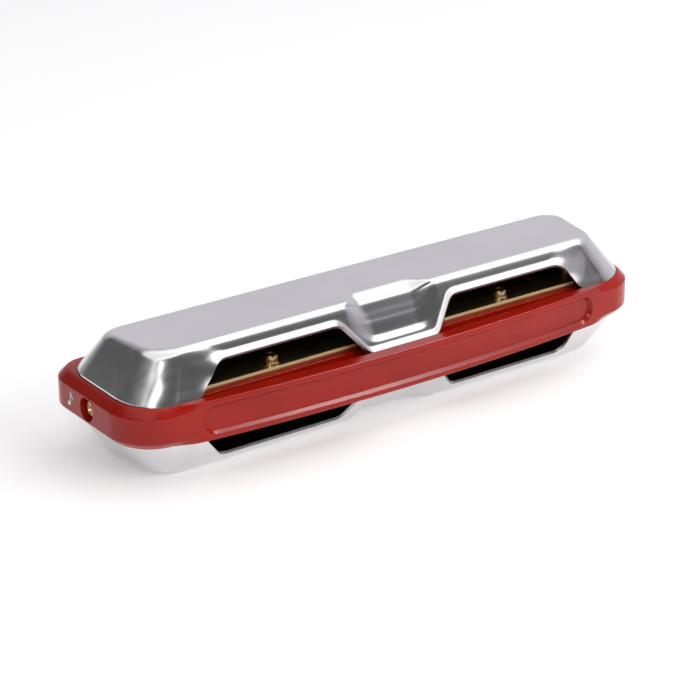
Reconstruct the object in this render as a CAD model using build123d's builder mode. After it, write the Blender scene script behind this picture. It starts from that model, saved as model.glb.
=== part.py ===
from build123d import *
import os

# Ten-hole diatonic harmonica. +X runs along the length towards hole 1, +Y towards the
# player's mouth, +Z up. The origin is the centre of the comb, half way between the covers.

# Comb: the moulded plastic core that surrounds the whole instrument
comb_half_length = 52.9
comb_half_depth = 15.3
comb_front_radius = 5.6
comb_back_radius = 8.0
comb_back_bow = 3.5          # how far the back curves forward from its middle to its ends
rim_height = 3.65            # top of the rim around the covers, from the middle plane
rim_bevel = 1.5
core_half_height = 3.0       # the reed plates lie on the core at this height

# Back rail of the comb
rail_half_height = 3.44
rail_half_length = 40.0
rail_thickness = 2.4
groove_back_wall = -9.95     # back face of the core, where the groove starts
groove_floor = 1.2
panel_half_length = 40.4
panel_height = 5.2
panel_depth = 0.65

# Holes and chambers
hole_count = 10
hole_pitch = 7.5
chamber_width = 5.0
mouth_hole_height = 5.0
mouth_hole_radius = 0.6
chamber_front = 11.0
chamber_margin = 0.4         # chamber beyond the tip end of the reed slot

# Reed plates
plate_thickness = 1.0
plate_half_length = 46.9
plate_front = 11.4
plate_back = -9.15
plate_corner_radius = 2.0
plate_gap = 0.12             # between a plate's edge and the comb's ledge
plate_top = core_half_height + plate_thickness

# Reeds: hole 1 has the longest
slot_front = 8.6
longest_slot = 14.9
shortest_slot = 9.0
slot_width = 2.3
reed_width = 2.2
reed_thickness = 0.2
reed_tip_gap = 0.1
heel_length = 2.3            # the part of a reed that is riveted to the plate
heel_width = 2.8
flexure_share = 0.15         # a reed bends about this share of its free length
flexure_gap = 0.05
rivet_radius = 0.5
rivet_head_radius = 0.85
rivet_head_height = 0.25

# Covers: pressed sheet
sheet = 0.45
cover_top = 10.85
cover_edge = 3.1             # lower edge of the sheet, on the comb's ledge
cover_upright = 4.0          # the wall stands upright up to here
cover_half_length = 51.0
cover_front = 12.9
cover_back = -12.55
cover_back_bow = 1.22
cover_corner_radius = 6.8
flat_front = 6.6
flat_back = -7.9
flat_half_length_front = 47.0
flat_half_length_back = 44.0
flat_corner_radius = 2.5
shoulder_radius = 1.6
wall_inset = 0.6             # the sheet's thickness, measured level through a sloping wall
cover_gap = 0.12             # between a cover's edge and the comb's rim

# Back openings of the covers, one each side of the central strut
opening_top = 8.45
opening_bottom = 3.0
opening_inner_top = 11.46
opening_inner_bottom = 7.06
opening_outer_top = 35.4
opening_outer_bottom = 39.5
opening_radius = 1.5
opening_reach = -4.0         # the cut goes from behind the cover to this depth
strut_half_width = 9.0

# Cover tabs and the screw at each end that clamps them
tab_half_width = 3.0
tab_y = 2.05
tab_bottom = 2.3             # how far a tab reaches past the middle plane
tab_outer_x = 50.75
tab_slot_outer_x = 50.8
tab_slot_clearance = 0.2
end_hole_radius = 2.02
end_head_radius = 1.5
end_head_length = 1.5
end_shank_radius = 0.8
end_shank_length = 5.0
end_recess_width = 0.5
end_recess_length = 1.9
end_recess_depth = 0.6

# Reed plate screws
plate_screws_one_side = [(23.8, -7.5), (41.5, 8.0), (41.5, -4.5)]
plate_screw_places = [(side * x, y) for side in (-1, 1) for x, y in plate_screws_one_side]
plate_screw_radius = 0.8
plate_screw_clearance = 0.05
plate_screw_collar_radius = 1.45
plate_screw_collar_height = 0.5
plate_screw_head_radius = 1.25
plate_screw_head_height = 1.7
plate_screw_socket_radius = 0.65
plate_screw_socket_depth = 0.9

past = 1.0                   # how far a cut runs past the face it goes through

os.makedirs("parts", exist_ok=True)


def finish(builder, name):
    """Labels a finished piece and writes its STEP file."""
    builder.part.label = name
    export_step(builder.part, f"parts/{name}.step")


def hole_x(hole):
    """Centre of a hole, numbered from 1 at +X."""
    return ((hole_count + 1) / 2 - hole) * hole_pitch


def slot_length(hole):
    """Length of a reed slot, from the longest at hole 1 to the shortest at hole 10."""
    share = (hole - 1) / (hole_count - 1)
    return longest_slot + (shortest_slot - longest_slot) * share


def bowed_plan(half_length, front, back, bow, front_radius, back_radius):
    """Plan with a straight front, a bowed back and round corners."""
    with BuildSketch() as plan:
        with BuildLine():
            ThreePointArc((-half_length, back + bow), (0, back), (half_length, back + bow))
            Polyline((half_length, back + bow), (half_length, front),
                     (-half_length, front), (-half_length, back + bow))
        make_face()
        fillet(plan.vertices().group_by(Axis.Y)[-1], front_radius)
        fillet(plan.vertices().group_by(Axis.Y)[0], back_radius)
    return plan.sketch


def comb_outline(inset):
    """Plan of the comb, or of a line inside it."""
    return bowed_plan(comb_half_length - inset, comb_half_depth - inset, -comb_half_depth + inset,
                      comb_back_bow, comb_front_radius - inset, comb_back_radius - inset)


def cover_plan(clearance):
    """Plan of a cover's lower edge."""
    return bowed_plan(cover_half_length + clearance, cover_front + clearance,
                      cover_back - clearance, cover_back_bow, cover_corner_radius + clearance,
                      cover_corner_radius + clearance)


def flat_plan(inset):
    """Plan of a cover's flat top, shorter at the back than at the front."""
    with BuildSketch() as plan:
        with BuildLine():
            Polyline((-flat_half_length_back + inset, flat_back + inset),
                     (flat_half_length_back - inset, flat_back + inset),
                     (flat_half_length_front - inset, flat_front - inset),
                     (-flat_half_length_front + inset, flat_front - inset), close=True)
        make_face()
        fillet(plan.vertices(), flat_corner_radius)
    return plan.sketch


def dome(inset, top):
    """Solid inside a cover's outer skin, or inside its inner skin when inset by the sheet."""
    with BuildPart() as body:
        with BuildSketch(Plane.XY.offset(cover_edge)):
            add(cover_plan(-inset))
        extrude(amount=cover_upright - cover_edge)
        with BuildSketch(Plane.XY.offset(cover_upright)):
            add(cover_plan(-inset))
        with BuildSketch(Plane.XY.offset(top)):
            add(flat_plan(inset))
        loft()
        fillet(body.faces().sort_by(Axis.Z)[-1].edges(), shoulder_radius)
    return body.part


def cover_shell():
    """Upper cover without its end tabs."""
    outer = dome(0, cover_top)
    inner = dome(wall_inset, cover_top - sheet)
    with BuildPart() as shell:
        add(outer)
        add(inner, mode=Mode.SUBTRACT)
        with BuildSketch(Plane.XZ.offset(comb_half_depth)) as openings:
            for side in (-1, 1):
                with BuildLine():
                    Polyline((side * opening_inner_top, opening_top),
                             (side * opening_outer_top, opening_top),
                             (side * opening_outer_bottom, opening_bottom),
                             (side * opening_inner_bottom, opening_bottom), close=True)
                make_face()
            fillet(openings.vertices().group_by(Axis.Y)[-1], opening_radius)
        extrude(amount=-(comb_half_depth + opening_reach), mode=Mode.SUBTRACT)
    return shell.part


def add_tabs(outer_x, top, up):
    """Adds the two end tabs of a cover to the part being built, each with its screw hole."""
    height = top + tab_bottom
    for side in (-1, 1):
        with Locations((side * (outer_x - sheet / 2), tab_y, up * (top - height / 2))):
            Box(sheet, 2 * tab_half_width, height)
        with Locations(Location((side * outer_x, tab_y, 0), (0, 90, 0))):
            Cylinder(end_shank_radius + plate_screw_clearance, 4 * sheet, mode=Mode.SUBTRACT)


def chamber_sketch():
    """Plan of the ten chambers, each a little longer than its reed slot."""
    with BuildSketch() as chambers:
        for hole in range(1, hole_count + 1):
            length = chamber_front - slot_front + slot_length(hole) + chamber_margin
            with Locations((hole_x(hole), chamber_front - length / 2)):
                Rectangle(chamber_width, length)
    return chambers.sketch


def panel_recess():
    """Shallow recess that follows the bowed back face of the rail."""
    with BuildPart() as recess:
        with BuildSketch(Plane.XZ):
            SlotOverall(2 * panel_half_length, panel_height)
        extrude(amount=comb_half_depth + past)
        extrude(comb_outline(panel_depth), amount=rim_height, both=True, mode=Mode.SUBTRACT)
    return recess.part


back_panel = panel_recess()

with BuildPart() as comb:
    # Outer wall with its bevels
    with BuildSketch():
        add(comb_outline(0))
    extrude(amount=rim_height, both=True)
    chamfer(comb.edges().group_by(Axis.Z)[0] + comb.edges().group_by(Axis.Z)[-1], rim_bevel)
    # Back rail: square edged and lower than the rim
    with BuildSketch():
        add(comb_outline(0))
        Rectangle(2 * rail_half_length, 2 * comb_half_depth, mode=Mode.INTERSECT,
                  align=(Align.CENTER, Align.MAX))
    extrude(amount=rail_half_height, both=True)
    for side in (-1, 1):
        with BuildSketch(Plane.XY.offset(side * rail_half_height)):
            with Locations((0, groove_back_wall)):
                Rectangle(2 * rail_half_length, comb_half_depth, align=(Align.CENTER, Align.MAX))
        extrude(amount=side * rim_height, mode=Mode.SUBTRACT)
    # Pockets for the covers, with a low ledge around the reed plates
    for side in (-1, 1):
        with BuildSketch(Plane.XY.offset(side * cover_edge)):
            add(cover_plan(cover_gap))
        extrude(amount=side * rim_height, mode=Mode.SUBTRACT)
        with BuildSketch(Plane.XY.offset(side * core_half_height)):
            with Locations((0, (plate_front + plate_gap + groove_back_wall - past) / 2)):
                RectangleRounded(2 * (plate_half_length + plate_gap),
                                 plate_front + plate_gap - groove_back_wall + past,
                                 plate_corner_radius)
        extrude(amount=side * rim_height, mode=Mode.SUBTRACT)
        # Groove between the core and the back rail
        with BuildSketch(Plane.XY.offset(side * groove_floor)):
            add(comb_outline(rail_thickness))
            with Locations((0, groove_back_wall)):
                Rectangle(2 * rail_half_length, comb_half_depth, mode=Mode.INTERSECT,
                          align=(Align.CENTER, Align.MAX))
            Rectangle(2 * opening_inner_bottom, 4 * comb_half_depth, mode=Mode.SUBTRACT)
        extrude(amount=side * rim_height, mode=Mode.SUBTRACT)
        # The pad under the strut's foot
        with BuildSketch(Plane.XY.offset(side * cover_edge)):
            with Locations((0, -comb_half_depth + rail_thickness)):
                Rectangle(2 * strut_half_width + 1, comb_half_depth - rail_thickness,
                          align=(Align.CENTER, Align.MIN))
        extrude(amount=side * rim_height, mode=Mode.SUBTRACT)
    # Chambers and mouth holes
    with BuildSketch():
        add(chamber_sketch())
    extrude(amount=rim_height, both=True, mode=Mode.SUBTRACT)
    with BuildSketch(Plane.XZ.offset(-comb_half_depth - past)):
        with GridLocations(hole_pitch, 0, hole_count, 1):
            RectangleRounded(chamber_width, mouth_hole_height, mouth_hole_radius)
    extrude(amount=comb_half_depth - chamber_front + 2 * past, mode=Mode.SUBTRACT)
    # Back panel, tab slots, and holes for the screws
    add(back_panel, mode=Mode.SUBTRACT)
    slot_depth = tab_slot_outer_x - tab_outer_x + 2 * sheet
    for side in (-1, 1):
        with Locations((side * (tab_slot_outer_x - slot_depth / 2), tab_y)):
            Box(slot_depth, 2 * (tab_half_width + tab_slot_clearance), 2 * rim_height,
                mode=Mode.SUBTRACT)
        with Locations(Location((side * tab_slot_outer_x, tab_y, 0), (0, side * 90, 0))):
            Cylinder(end_hole_radius, comb_half_length, mode=Mode.SUBTRACT,
                     align=(Align.CENTER, Align.CENTER, Align.MIN))
            Cylinder(end_shank_radius, 2 * (end_shank_length + past), mode=Mode.SUBTRACT)
    with Locations([(x, y, 0) for x, y in plate_screw_places]):
        Cylinder(plate_screw_radius + plate_screw_clearance, 2 * rim_height, mode=Mode.SUBTRACT)
finish(comb, "comb")

shell = cover_shell()

with BuildPart() as top_cover:
    add(shell)
    add_tabs(tab_outer_x, cover_upright, 1)
finish(top_cover, "top_cover")

with BuildPart() as bottom_cover:
    add(shell.mirror(Plane.XY))
    add_tabs(tab_outer_x - sheet, cover_upright + sheet, -1)
finish(bottom_cover, "bottom_cover")


def plate_sketch():
    """Plan of a reed plate with its ten slots, rivet holes and screw holes."""
    with BuildSketch() as plan:
        with Locations((0, (plate_front + plate_back) / 2)):
            RectangleRounded(2 * plate_half_length, plate_front - plate_back, plate_corner_radius)
        for hole in range(1, hole_count + 1):
            with Locations((hole_x(hole), slot_front - slot_length(hole) / 2)):
                Rectangle(slot_width, slot_length(hole), mode=Mode.SUBTRACT)
            with Locations((hole_x(hole), slot_front + heel_length / 2)):
                Circle(rivet_radius, mode=Mode.SUBTRACT)
        with Locations(plate_screw_places):
            Circle(plate_screw_radius + plate_screw_clearance, mode=Mode.SUBTRACT)
    return plan.sketch


with BuildPart() as blow_reed_plate:
    with BuildSketch(Plane.XY.offset(core_half_height)):
        add(plate_sketch())
    extrude(amount=plate_thickness)
finish(blow_reed_plate, "blow_reed_plate")

with BuildPart() as draw_reed_plate:
    with BuildSketch(Plane.XY.offset(-plate_top)):
        add(plate_sketch())
    extrude(amount=plate_thickness)
finish(draw_reed_plate, "draw_reed_plate")


def free_length(hole):
    """Length of a reed over its slot."""
    return slot_length(hole) - reed_tip_gap


def hinge_y(hole):
    """Where the moving part of a reed starts."""
    return slot_front - flexure_share * free_length(hole)


# Both sets of reeds lie on the lower face of their plate: the blow reeds inside the
# chambers, the draw reeds outside them.
reed_faces = {"blow": core_half_height, "draw": -plate_top}

for reed_set, face in reed_faces.items():
    with BuildPart() as heels:
        for hole in range(1, hole_count + 1):
            flexure = slot_front - hinge_y(hole) - flexure_gap
            with BuildSketch(Plane.XY.offset(face - reed_thickness)):
                with Locations((hole_x(hole), slot_front + heel_length / 2)):
                    Rectangle(heel_width, heel_length)
                    Circle(rivet_radius, mode=Mode.SUBTRACT)
                with Locations((hole_x(hole), slot_front - flexure / 2)):
                    Rectangle(reed_width, flexure)
            extrude(amount=reed_thickness)
    finish(heels, f"{reed_set}_reed_heels")

    with BuildPart() as rivets:
        for hole in range(1, hole_count + 1):
            with Locations((hole_x(hole), slot_front + heel_length / 2, face - reed_thickness)):
                Cylinder(rivet_radius, plate_thickness + reed_thickness,
                         align=(Align.CENTER, Align.CENTER, Align.MIN))
                Cylinder(rivet_head_radius, rivet_head_height,
                         align=(Align.CENTER, Align.CENTER, Align.MAX))
            with Locations((hole_x(hole), slot_front + heel_length / 2, face + plate_thickness)):
                Cylinder(rivet_head_radius, rivet_head_height,
                         align=(Align.CENTER, Align.CENTER, Align.MIN))
    finish(rivets, f"{reed_set}_reed_rivets")

    for hole in range(1, hole_count + 1):
        with BuildPart() as reed:
            length = free_length(hole) * (1 - flexure_share)
            with BuildSketch(Plane.XY.offset(face - reed_thickness)):
                with Locations((hole_x(hole), hinge_y(hole) - length / 2)):
                    Rectangle(reed_width, length)
            extrude(amount=reed_thickness)
        finish(reed, f"{reed_set}_reed_{hole}")

with BuildPart() as reed_plate_screws:
    upright = (Align.CENTER, Align.CENTER, Align.MIN)
    with Locations([(x, y, -plate_top) for x, y in plate_screw_places]):
        Cylinder(plate_screw_radius, 2 * plate_top, align=upright)
    with Locations([(x, y, plate_top) for x, y in plate_screw_places]):
        Cylinder(plate_screw_collar_radius, plate_screw_collar_height, align=upright)
        Cylinder(plate_screw_head_radius, plate_screw_head_height, align=upright)
    socket_floor = plate_top + plate_screw_head_height - plate_screw_socket_depth
    with Locations([(x, y, socket_floor) for x, y in plate_screw_places]):
        Cylinder(plate_screw_socket_radius, plate_screw_head_height, align=upright,
                 mode=Mode.SUBTRACT)
finish(reed_plate_screws, "reed_plate_screws")

for name, side in (("hole_1_end_screw", 1), ("hole_10_end_screw", -1)):
    with BuildPart() as end_screw:
        outward = (Align.CENTER, Align.CENTER, Align.MIN)
        inward = (Align.CENTER, Align.CENTER, Align.MAX)
        with Locations(Location((side * tab_outer_x, tab_y, 0), (0, side * 90, 0))):
            Cylinder(end_head_radius, end_head_length, align=outward)
            Cylinder(end_shank_radius, end_shank_length, align=inward)
        with Locations(Location((side * (tab_outer_x + end_head_length), tab_y, 0),
                                (0, side * 90, 0))):
            Box(end_recess_length, end_recess_width, 2 * end_recess_depth, mode=Mode.SUBTRACT)
            Box(end_recess_width, end_recess_length, 2 * end_recess_depth, mode=Mode.SUBTRACT)
    finish(end_screw, name)
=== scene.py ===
import math

import bmesh
import bpy
import numpy as np
from mathutils import Matrix, Vector


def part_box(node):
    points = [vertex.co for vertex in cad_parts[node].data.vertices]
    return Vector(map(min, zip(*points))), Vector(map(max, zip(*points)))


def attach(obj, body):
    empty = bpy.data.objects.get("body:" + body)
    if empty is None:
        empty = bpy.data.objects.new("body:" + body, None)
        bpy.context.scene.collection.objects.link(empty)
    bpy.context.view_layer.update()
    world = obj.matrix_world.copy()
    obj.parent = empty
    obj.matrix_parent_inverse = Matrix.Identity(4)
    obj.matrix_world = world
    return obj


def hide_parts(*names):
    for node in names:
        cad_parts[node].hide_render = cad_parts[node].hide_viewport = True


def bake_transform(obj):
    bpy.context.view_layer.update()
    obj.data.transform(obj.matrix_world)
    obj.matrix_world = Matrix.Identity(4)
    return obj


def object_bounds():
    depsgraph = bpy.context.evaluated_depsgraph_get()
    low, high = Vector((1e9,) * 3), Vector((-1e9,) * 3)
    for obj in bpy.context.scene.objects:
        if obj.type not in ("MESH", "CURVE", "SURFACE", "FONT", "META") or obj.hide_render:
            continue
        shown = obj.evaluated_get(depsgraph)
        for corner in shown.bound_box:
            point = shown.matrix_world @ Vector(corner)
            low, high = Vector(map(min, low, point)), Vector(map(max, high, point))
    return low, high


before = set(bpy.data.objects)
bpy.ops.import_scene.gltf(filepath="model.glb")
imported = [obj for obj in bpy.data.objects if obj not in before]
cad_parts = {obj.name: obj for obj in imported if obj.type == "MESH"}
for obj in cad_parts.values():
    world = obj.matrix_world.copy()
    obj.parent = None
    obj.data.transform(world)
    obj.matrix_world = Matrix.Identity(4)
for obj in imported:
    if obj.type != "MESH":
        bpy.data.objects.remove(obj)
cad_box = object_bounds()

# Ten-hole harmonica. The shapes below are worked out in millimetres in the CAD's frame, with +X
# towards hole 1, +Y towards the mouth and +Z up, and mesh_object turns them into metres.
MM = 0.001


def smooth(x):
    """Smooth step from 0 to 1 as x goes from 0 to 1."""
    x = np.clip(x, 0, 1)
    return x * x * (3 - 2 * x)


def mix(a, b, share):
    return a + (b - a) * share


def unit(v):
    return v / np.maximum(np.linalg.norm(v, axis=-1, keepdims=True), 1e-9)


def looked_up(value, table):
    """A value looked up in a table of (place, result) rows, with straight lines between them."""
    places, results = zip(*table)
    return np.interp(value, places, results)


# ---------------- meshes

def mesh_object(name, points, faces, material, angle=35):
    """An object from points in millimetres, shaded smooth where faces meet at less than angle."""
    mesh = bpy.data.meshes.new(name)
    mesh.from_pydata([tuple(float(c) * MM for c in p) for p in points], [], faces)
    return finished_object(name, mesh, material, angle)


def turn_outwards(mesh):
    """Faces of a closed solid all face outwards. An open sheet is left as it is."""
    solid = bmesh.new()
    solid.from_mesh(mesh)
    if all(edge.is_manifold for edge in solid.edges):
        bmesh.ops.recalc_face_normals(solid, faces=solid.faces)
        solid.to_mesh(mesh)
    solid.free()


def finished_object(name, mesh, material, angle):
    """An object for a mesh. With no material given, the mesh keeps the ones it has."""
    mesh.validate()
    turn_outwards(mesh)
    mesh.shade_smooth()
    mesh.set_sharp_from_angle(angle=math.radians(angle))
    obj = bpy.data.objects.new(name, mesh)
    bpy.context.scene.collection.objects.link(obj)
    if material:
        mesh.materials.clear()
        mesh.materials.append(material)
    return obj


def applied(obj, name, angle):
    """A new object with obj's modifiers applied and its materials kept. obj is deleted."""
    depsgraph = bpy.context.evaluated_depsgraph_get()
    mesh = bpy.data.meshes.new_from_object(obj.evaluated_get(depsgraph))
    bpy.data.objects.remove(obj)
    mesh.name = name
    return finished_object(name, mesh, None, angle)


def cut(name, shape, cutters, material, angle=35):
    """A solid with other solids cut out of it, one after the other."""
    obj = mesh_object(name + "_blank", *shape, material)
    tools = []
    for k, cutter in enumerate(cutters):
        tool = mesh_object(f"{name}_cutter_{k}", *cutter, material)
        boolean = obj.modifiers.new("cut", "BOOLEAN")
        boolean.operation = "DIFFERENCE"
        boolean.solver = "EXACT"
        boolean.object = tool
        tools.append(tool)
    result = applied(obj, name, angle)
    for tool in tools:
        bpy.data.objects.remove(tool)
    return result


def grid_faces(rows, columns):
    """Faces of a tube-like grid, stored row by row, whose last column joins its first."""
    faces = []
    for row in range(rows - 1):
        this, following = row * columns, (row + 1) * columns
        for c in range(columns):
            d = (c + 1) % columns
            faces.append((this + c, this + d, following + d, following + c))
    return faces


def joined_shapes(shapes):
    """One list of points and one of faces from several (points, faces) pairs."""
    points, faces = [], []
    for some_points, some_faces in shapes:
        faces += [tuple(i + len(points) for i in face) for face in some_faces]
        points += [tuple(p) for p in some_points]
    return points, faces


def prism(outline, low, high, axis=2):
    """Solid with a plane outline, from low to high along an axis (0 X, 1 Y, 2 Z)."""
    count = len(outline)
    points = []
    for level in (low, high):
        for a, b in outline:
            points.append({0: (level, a, b), 1: (a, level, b), 2: (a, b, level)}[axis])
    faces = [(i, (i + 1) % count, count + (i + 1) % count, count + i) for i in range(count)]
    faces += [tuple(reversed(range(count))), tuple(range(count, 2 * count))]
    return points, faces


def rounded_rectangle(width, height, radius, centre=(0, 0), steps=6):
    """Outline of a rectangle with round corners, anticlockwise."""
    points = []
    for k, (sx, sy) in enumerate(((1, 1), (-1, 1), (-1, -1), (1, -1))):
        for i in range(steps + 1):
            a = math.radians(90 * k + 90 * i / steps)
            points.append((centre[0] + sx * (width / 2 - radius) + radius * math.cos(a),
                           centre[1] + sy * (height / 2 - radius) + radius * math.sin(a)))
    return points


def circle(radius, centre=(0, 0), count=48):
    return [(centre[0] + radius * math.cos(2 * math.pi * i / count),
             centre[1] + radius * math.sin(2 * math.pi * i / count)) for i in range(count)]


def turned(profile, count):
    """Solid of revolution about Z from (radius, height) points, closed at both ends on the axis."""
    inner = [p for p in profile if p[0] > 0]
    points = [(0, 0, profile[0][1])]
    for radius, height in inner:
        points += [(x, y, height) for x, y in circle(radius, count=count)]
    points.append((0, 0, profile[-1][1]))
    faces = []
    for c in range(count):
        d = (c + 1) % count
        faces.append((0, 1 + d, 1 + c))
        for r in range(len(inner) - 1):
            a, b = 1 + r * count, 1 + (r + 1) * count
            faces.append((a + c, a + d, b + d, b + c))
        last = 1 + (len(inner) - 1) * count
        faces.append((last + c, last + d, len(points) - 1))
    return points, faces


def placed(shape, matrix):
    """A shape moved by a matrix whose lengths are millimetres."""
    points, faces = shape
    return [tuple(matrix @ Vector(p)) for p in points], faces


def fillet_arc(before, corner, after, radius, steps):
    """Points of the arc that rounds a corner of a plane outline."""
    before, corner, after = (np.array(p, float) for p in (before, corner, after))
    d1, d2 = unit(corner - before), unit(after - corner)
    turn = math.acos(float(np.clip(d1 @ d2, -1, 1)))
    reach = radius * math.tan(turn / 2)
    side = np.array([-d1[1], d1[0]]) * (1 if d1[0] * d2[1] - d1[1] * d2[0] > 0 else -1)
    angles = np.linspace(0, turn, steps + 1)[:, None]
    return corner - d1 * reach + radius * np.sin(angles) * d1 + radius * (1 - np.cos(angles)) * side


def corner_arc(corners, radii, k, steps):
    """Points of the arc that rounds corner k of an outline."""
    return fillet_arc(corners[k - 1], corners[k], corners[(k + 1) % len(corners)], radii[k], steps)


def side_points(corners, radii, k, fractions):
    """Points along side k of a rounded outline, between its two corner arcs."""
    start = corner_arc(corners, radii, k, 1)[-1]
    end = corner_arc(corners, radii, (k + 1) % len(corners), 1)[0]
    return start + (end - start) * np.asarray(fractions)[:, None]


# ---------------- covers

SHEET = 0.45
TOP = 10.838
EDGE = 3.1                     # lower edge of the sheet
UPRIGHT = 4.0                  # the end and front walls stand upright below this
BACK_UPRIGHT = 0.2             # and the back wall's last stretch is this high
LEDGE_BACK = -11.5             # back wall at its lower edge, before its lip
LEDGE_REACH = 0.15             # how far the scoop's foot stands behind that

# The free edge of the back wall, by |X|: under the strut, up its side, along the opening, and down
STRUT_FOOT = 7.06
STRUT_HEAD = 11.46
OPENING_TOP = 8.45
OPENING_END = 35.4
LOBE_FOOT = 39.5
EDGE_END = 44.0
EDGE_RADII = (2.0, 2.6, 3.4, 2.2)
EDGE_ARC_STEPS = 24

# Three outlines, each with its corners and their radii in the order hole 10's back, hole 1's
# back, hole 1's front and hole 10's front: the walls' foot, the crease around the flat top, and
# a line within the top, from which the grid of points starts
BASE_HALF_LENGTH = 51.0
BASE_FRONT = 12.9
BASE_RADIUS = 7.0
BASE_CORNERS = [(-BASE_HALF_LENGTH, LEDGE_BACK), (BASE_HALF_LENGTH, LEDGE_BACK),
                (BASE_HALF_LENGTH, BASE_FRONT), (-BASE_HALF_LENGTH, BASE_FRONT)]
BASE_RADII = (BASE_RADIUS,) * 4
FLAT_CORNERS = [(-44.9, -7.75), (44.9, -7.75), (47.7, 6.9), (-47.7, 6.9)]
FLAT_RADII = (5.0, 5.0, 3.0, 3.0)
INNER_CORNERS = [(-42.0, -3.6), (42.0, -3.6), (43.5, 3.6), (-43.5, 3.6)]
INNER_RADII = (1.5,) * 4
FLAT_BACK = FLAT_CORNERS[0][1]
FLAT_LENGTH = INNER_CORNERS[0][1] - FLAT_BACK
# X on the crease above each X on the free edge. The edge's end stands below the crease's end.
CREASE_BY_EDGE = [(0, 0), (STRUT_FOOT, 8.6), (STRUT_HEAD, 11.6), (OPENING_END, 35.2), (39.3, 38.6)]

# Radius of the shoulder between the top and each wall, and how much larger it is at the corners
SHOULDER = {"back": 2.4, "end": 2.0, "front": 2.6}
CORNER_SOFTENING = 0.9
CORNER_HASTE = 1.3             # the radius has changed before the corner's end by this factor

# Columns of the grid, on each half of the back, round a corner, and along an end and the front
BACK_STATIONS = 150
CORNER_STATIONS = 26
SIDE_STATIONS = {"end": 40, "front": 120}

# Rows of the grid, on the flat, round the shoulder and down the wall, closer near the shoulder
FLAT_ROWS = 12
SHOULDER_ROWS = 18
WALL_ROWS = 40
WALL_CROWDING = 1.5

# Slope of the scoop down the middle of the strut: degrees below level at each length along it
SCOOP_SLOPES = [(0, 0), (0.4, 0), (0.9, 20), (3.3, 44), (3.9, 60), (4.8, 60), (5.15, 55), (5.4, 55),
                (5.75, 61), (6.2, 61), (6.5, 51), (6.7, 51), (7.1, 66), (8.6, 70), (9.0, 48),
                (10.1, 40), (10.5, 62), (11.4, 62)]
SCOOP_SAMPLES = 400
SCOOP_BLUR = 6                 # samples on each side that the slope is averaged over
# Half widths of the scoop at its rim and at its floor, by distance past the crease
SCOOP_WIDEST = 9.4
SCOOP_RIM = [(-FLAT_LENGTH, 5.8), (-3.4, 6.5), (-0.9, 8.4), (0.8, SCOOP_WIDEST)]
SCOOP_FLOOR = [(-3.4, 5.1), (0, 5.3), (3.5, 4.6), (8, 4.5)]
SCOOP_MARGIN = 1.0             # least width of the strut's border beside the scoop
SCOOP_NARROWEST = 0.3          # least width of the slope from floor to rim
SCOOP_SOFTNESS = 0.65          # share of the slope that is rounded, and not straight
SCOOP_LIMIT = 14.0             # the scoop is within this X

# The lips: the sheet flares out near its free edge, wider and softer round an opening's outer end
LIP_WIDTH = 0.95
LIP_REACH = 0.9
LIP_POWER = 2.4
LIP_BACK = -5.0                # lips are behind this Y
LIP_END = 50.5                 # and fade out towards this X
LIP_END_FADE = 6.0
LOBE_WIDTH = 5.5
LOBE_FLARE = 1.5
LOBE_POWER = 1.7
LOBE_LOW = 3.4                 # below this the lobe stands in the comb's pocket, with no flare
LOBE_FADE = 5.2
LOBE_START = 13.0              # length of the free edge from there to its outer end
LOBE_BLEND = 5.0


def opening_path():
    """Free edge of the back wall from its middle to hole 1's end: (x, z) points, and their lengths."""
    corners = [(0, EDGE), (STRUT_FOOT, EDGE), (STRUT_HEAD, OPENING_TOP), (OPENING_END, OPENING_TOP),
               (LOBE_FOOT, EDGE), (EDGE_END, EDGE)]
    path = [np.array([corners[0]], float)]
    for k, radius in enumerate(EDGE_RADII):
        path.append(fillet_arc(*corners[k:k + 3], radius, EDGE_ARC_STEPS))
    path.append(np.array([corners[-1]], float))
    points = np.concatenate(path)
    lengths = np.concatenate([[0], np.cumsum(np.linalg.norm(np.diff(points, axis=0), axis=1))])
    return points, lengths


def edge_distance(x, z, path):
    """Distance from (|x|, z) to the free edge, and how far along the edge the nearest point is."""
    points, lengths = path
    p = np.stack([np.abs(x), z], -1)[..., None, :]
    a, b = points[:-1], points[1:]
    ab = b - a
    t = np.clip(((p - a) * ab).sum(-1) / np.maximum((ab * ab).sum(-1), 1e-9), 0, 1)
    distance = np.linalg.norm(p - (a + t[..., None] * ab), axis=-1)
    nearest = distance.argmin(-1)
    along = np.take_along_axis(lengths[:-1] + t * np.diff(lengths), nearest[..., None], -1)[..., 0]
    return distance.min(-1), along


def scoop_line():
    """Middle line of the scoop, from the flat to the foot: its share of the length, y and z."""
    s = np.linspace(0, SCOOP_SLOPES[-1][0], SCOOP_SAMPLES)
    slope = np.radians(looked_up(s, SCOOP_SLOPES))
    window = 2 * SCOOP_BLUR + 1
    slope = np.convolve(np.pad(slope, SCOOP_BLUR, mode="edge"), np.ones(window) / window, mode="valid")
    step = s[1] - s[0]
    y = INNER_CORNERS[0][1] - np.concatenate([[0], np.cumsum(np.cos(slope[1:]) * step)])
    z = TOP - np.concatenate([[0], np.cumsum(np.sin(slope[1:]) * step)])
    share = s / s[-1]
    return share, y + (LEDGE_BACK - LEDGE_REACH - y[-1]) * share, z + (EDGE - z[-1]) * share


def wall_slope():
    """How far the back wall goes back for each millimetre that it goes down."""
    return (FLAT_BACK - LEDGE_BACK) / (TOP - EDGE)


# A stretch is a run of the grid's columns. It holds, for each column, its (x, y) points on the
# inner line, on the crease and at the wall's foot, the Z of its lower end, the Z of the wall's
# foot, and the shoulder's radius.

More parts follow.
